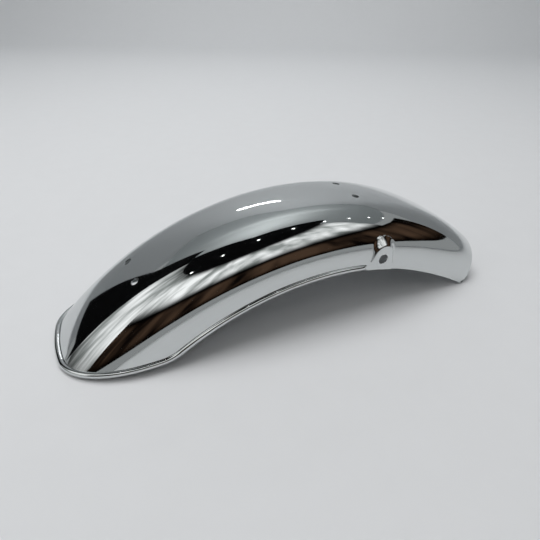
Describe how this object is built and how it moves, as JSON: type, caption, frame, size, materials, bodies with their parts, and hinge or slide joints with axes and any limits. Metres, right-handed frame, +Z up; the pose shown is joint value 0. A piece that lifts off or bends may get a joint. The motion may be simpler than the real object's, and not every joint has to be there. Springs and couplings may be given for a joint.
{
  "type": "motorcycle rear mudguard",
  "caption": "Chrome-plated pressed-steel rear mudguard: a U-section arch with a half-round beaded edge, a swept tail, side bosses and crown fixing holes.",
  "frame": {"origin": "on the ground under the arch, midway along its length and across its width", "axes": "+X towards the front end, +Y across, +Z up; the arch stands on its two front corners and its tail tip"},
  "size_m": [0.4682, 0.1456, 0.1148],
  "materials": {
    "chrome_plate": "mirror polished decorative chrome plate on pressed steel sheet"
  },
  "bodies": {
    "root": {"mudguard": "chrome_plate"}
  },
  "joints": []
}
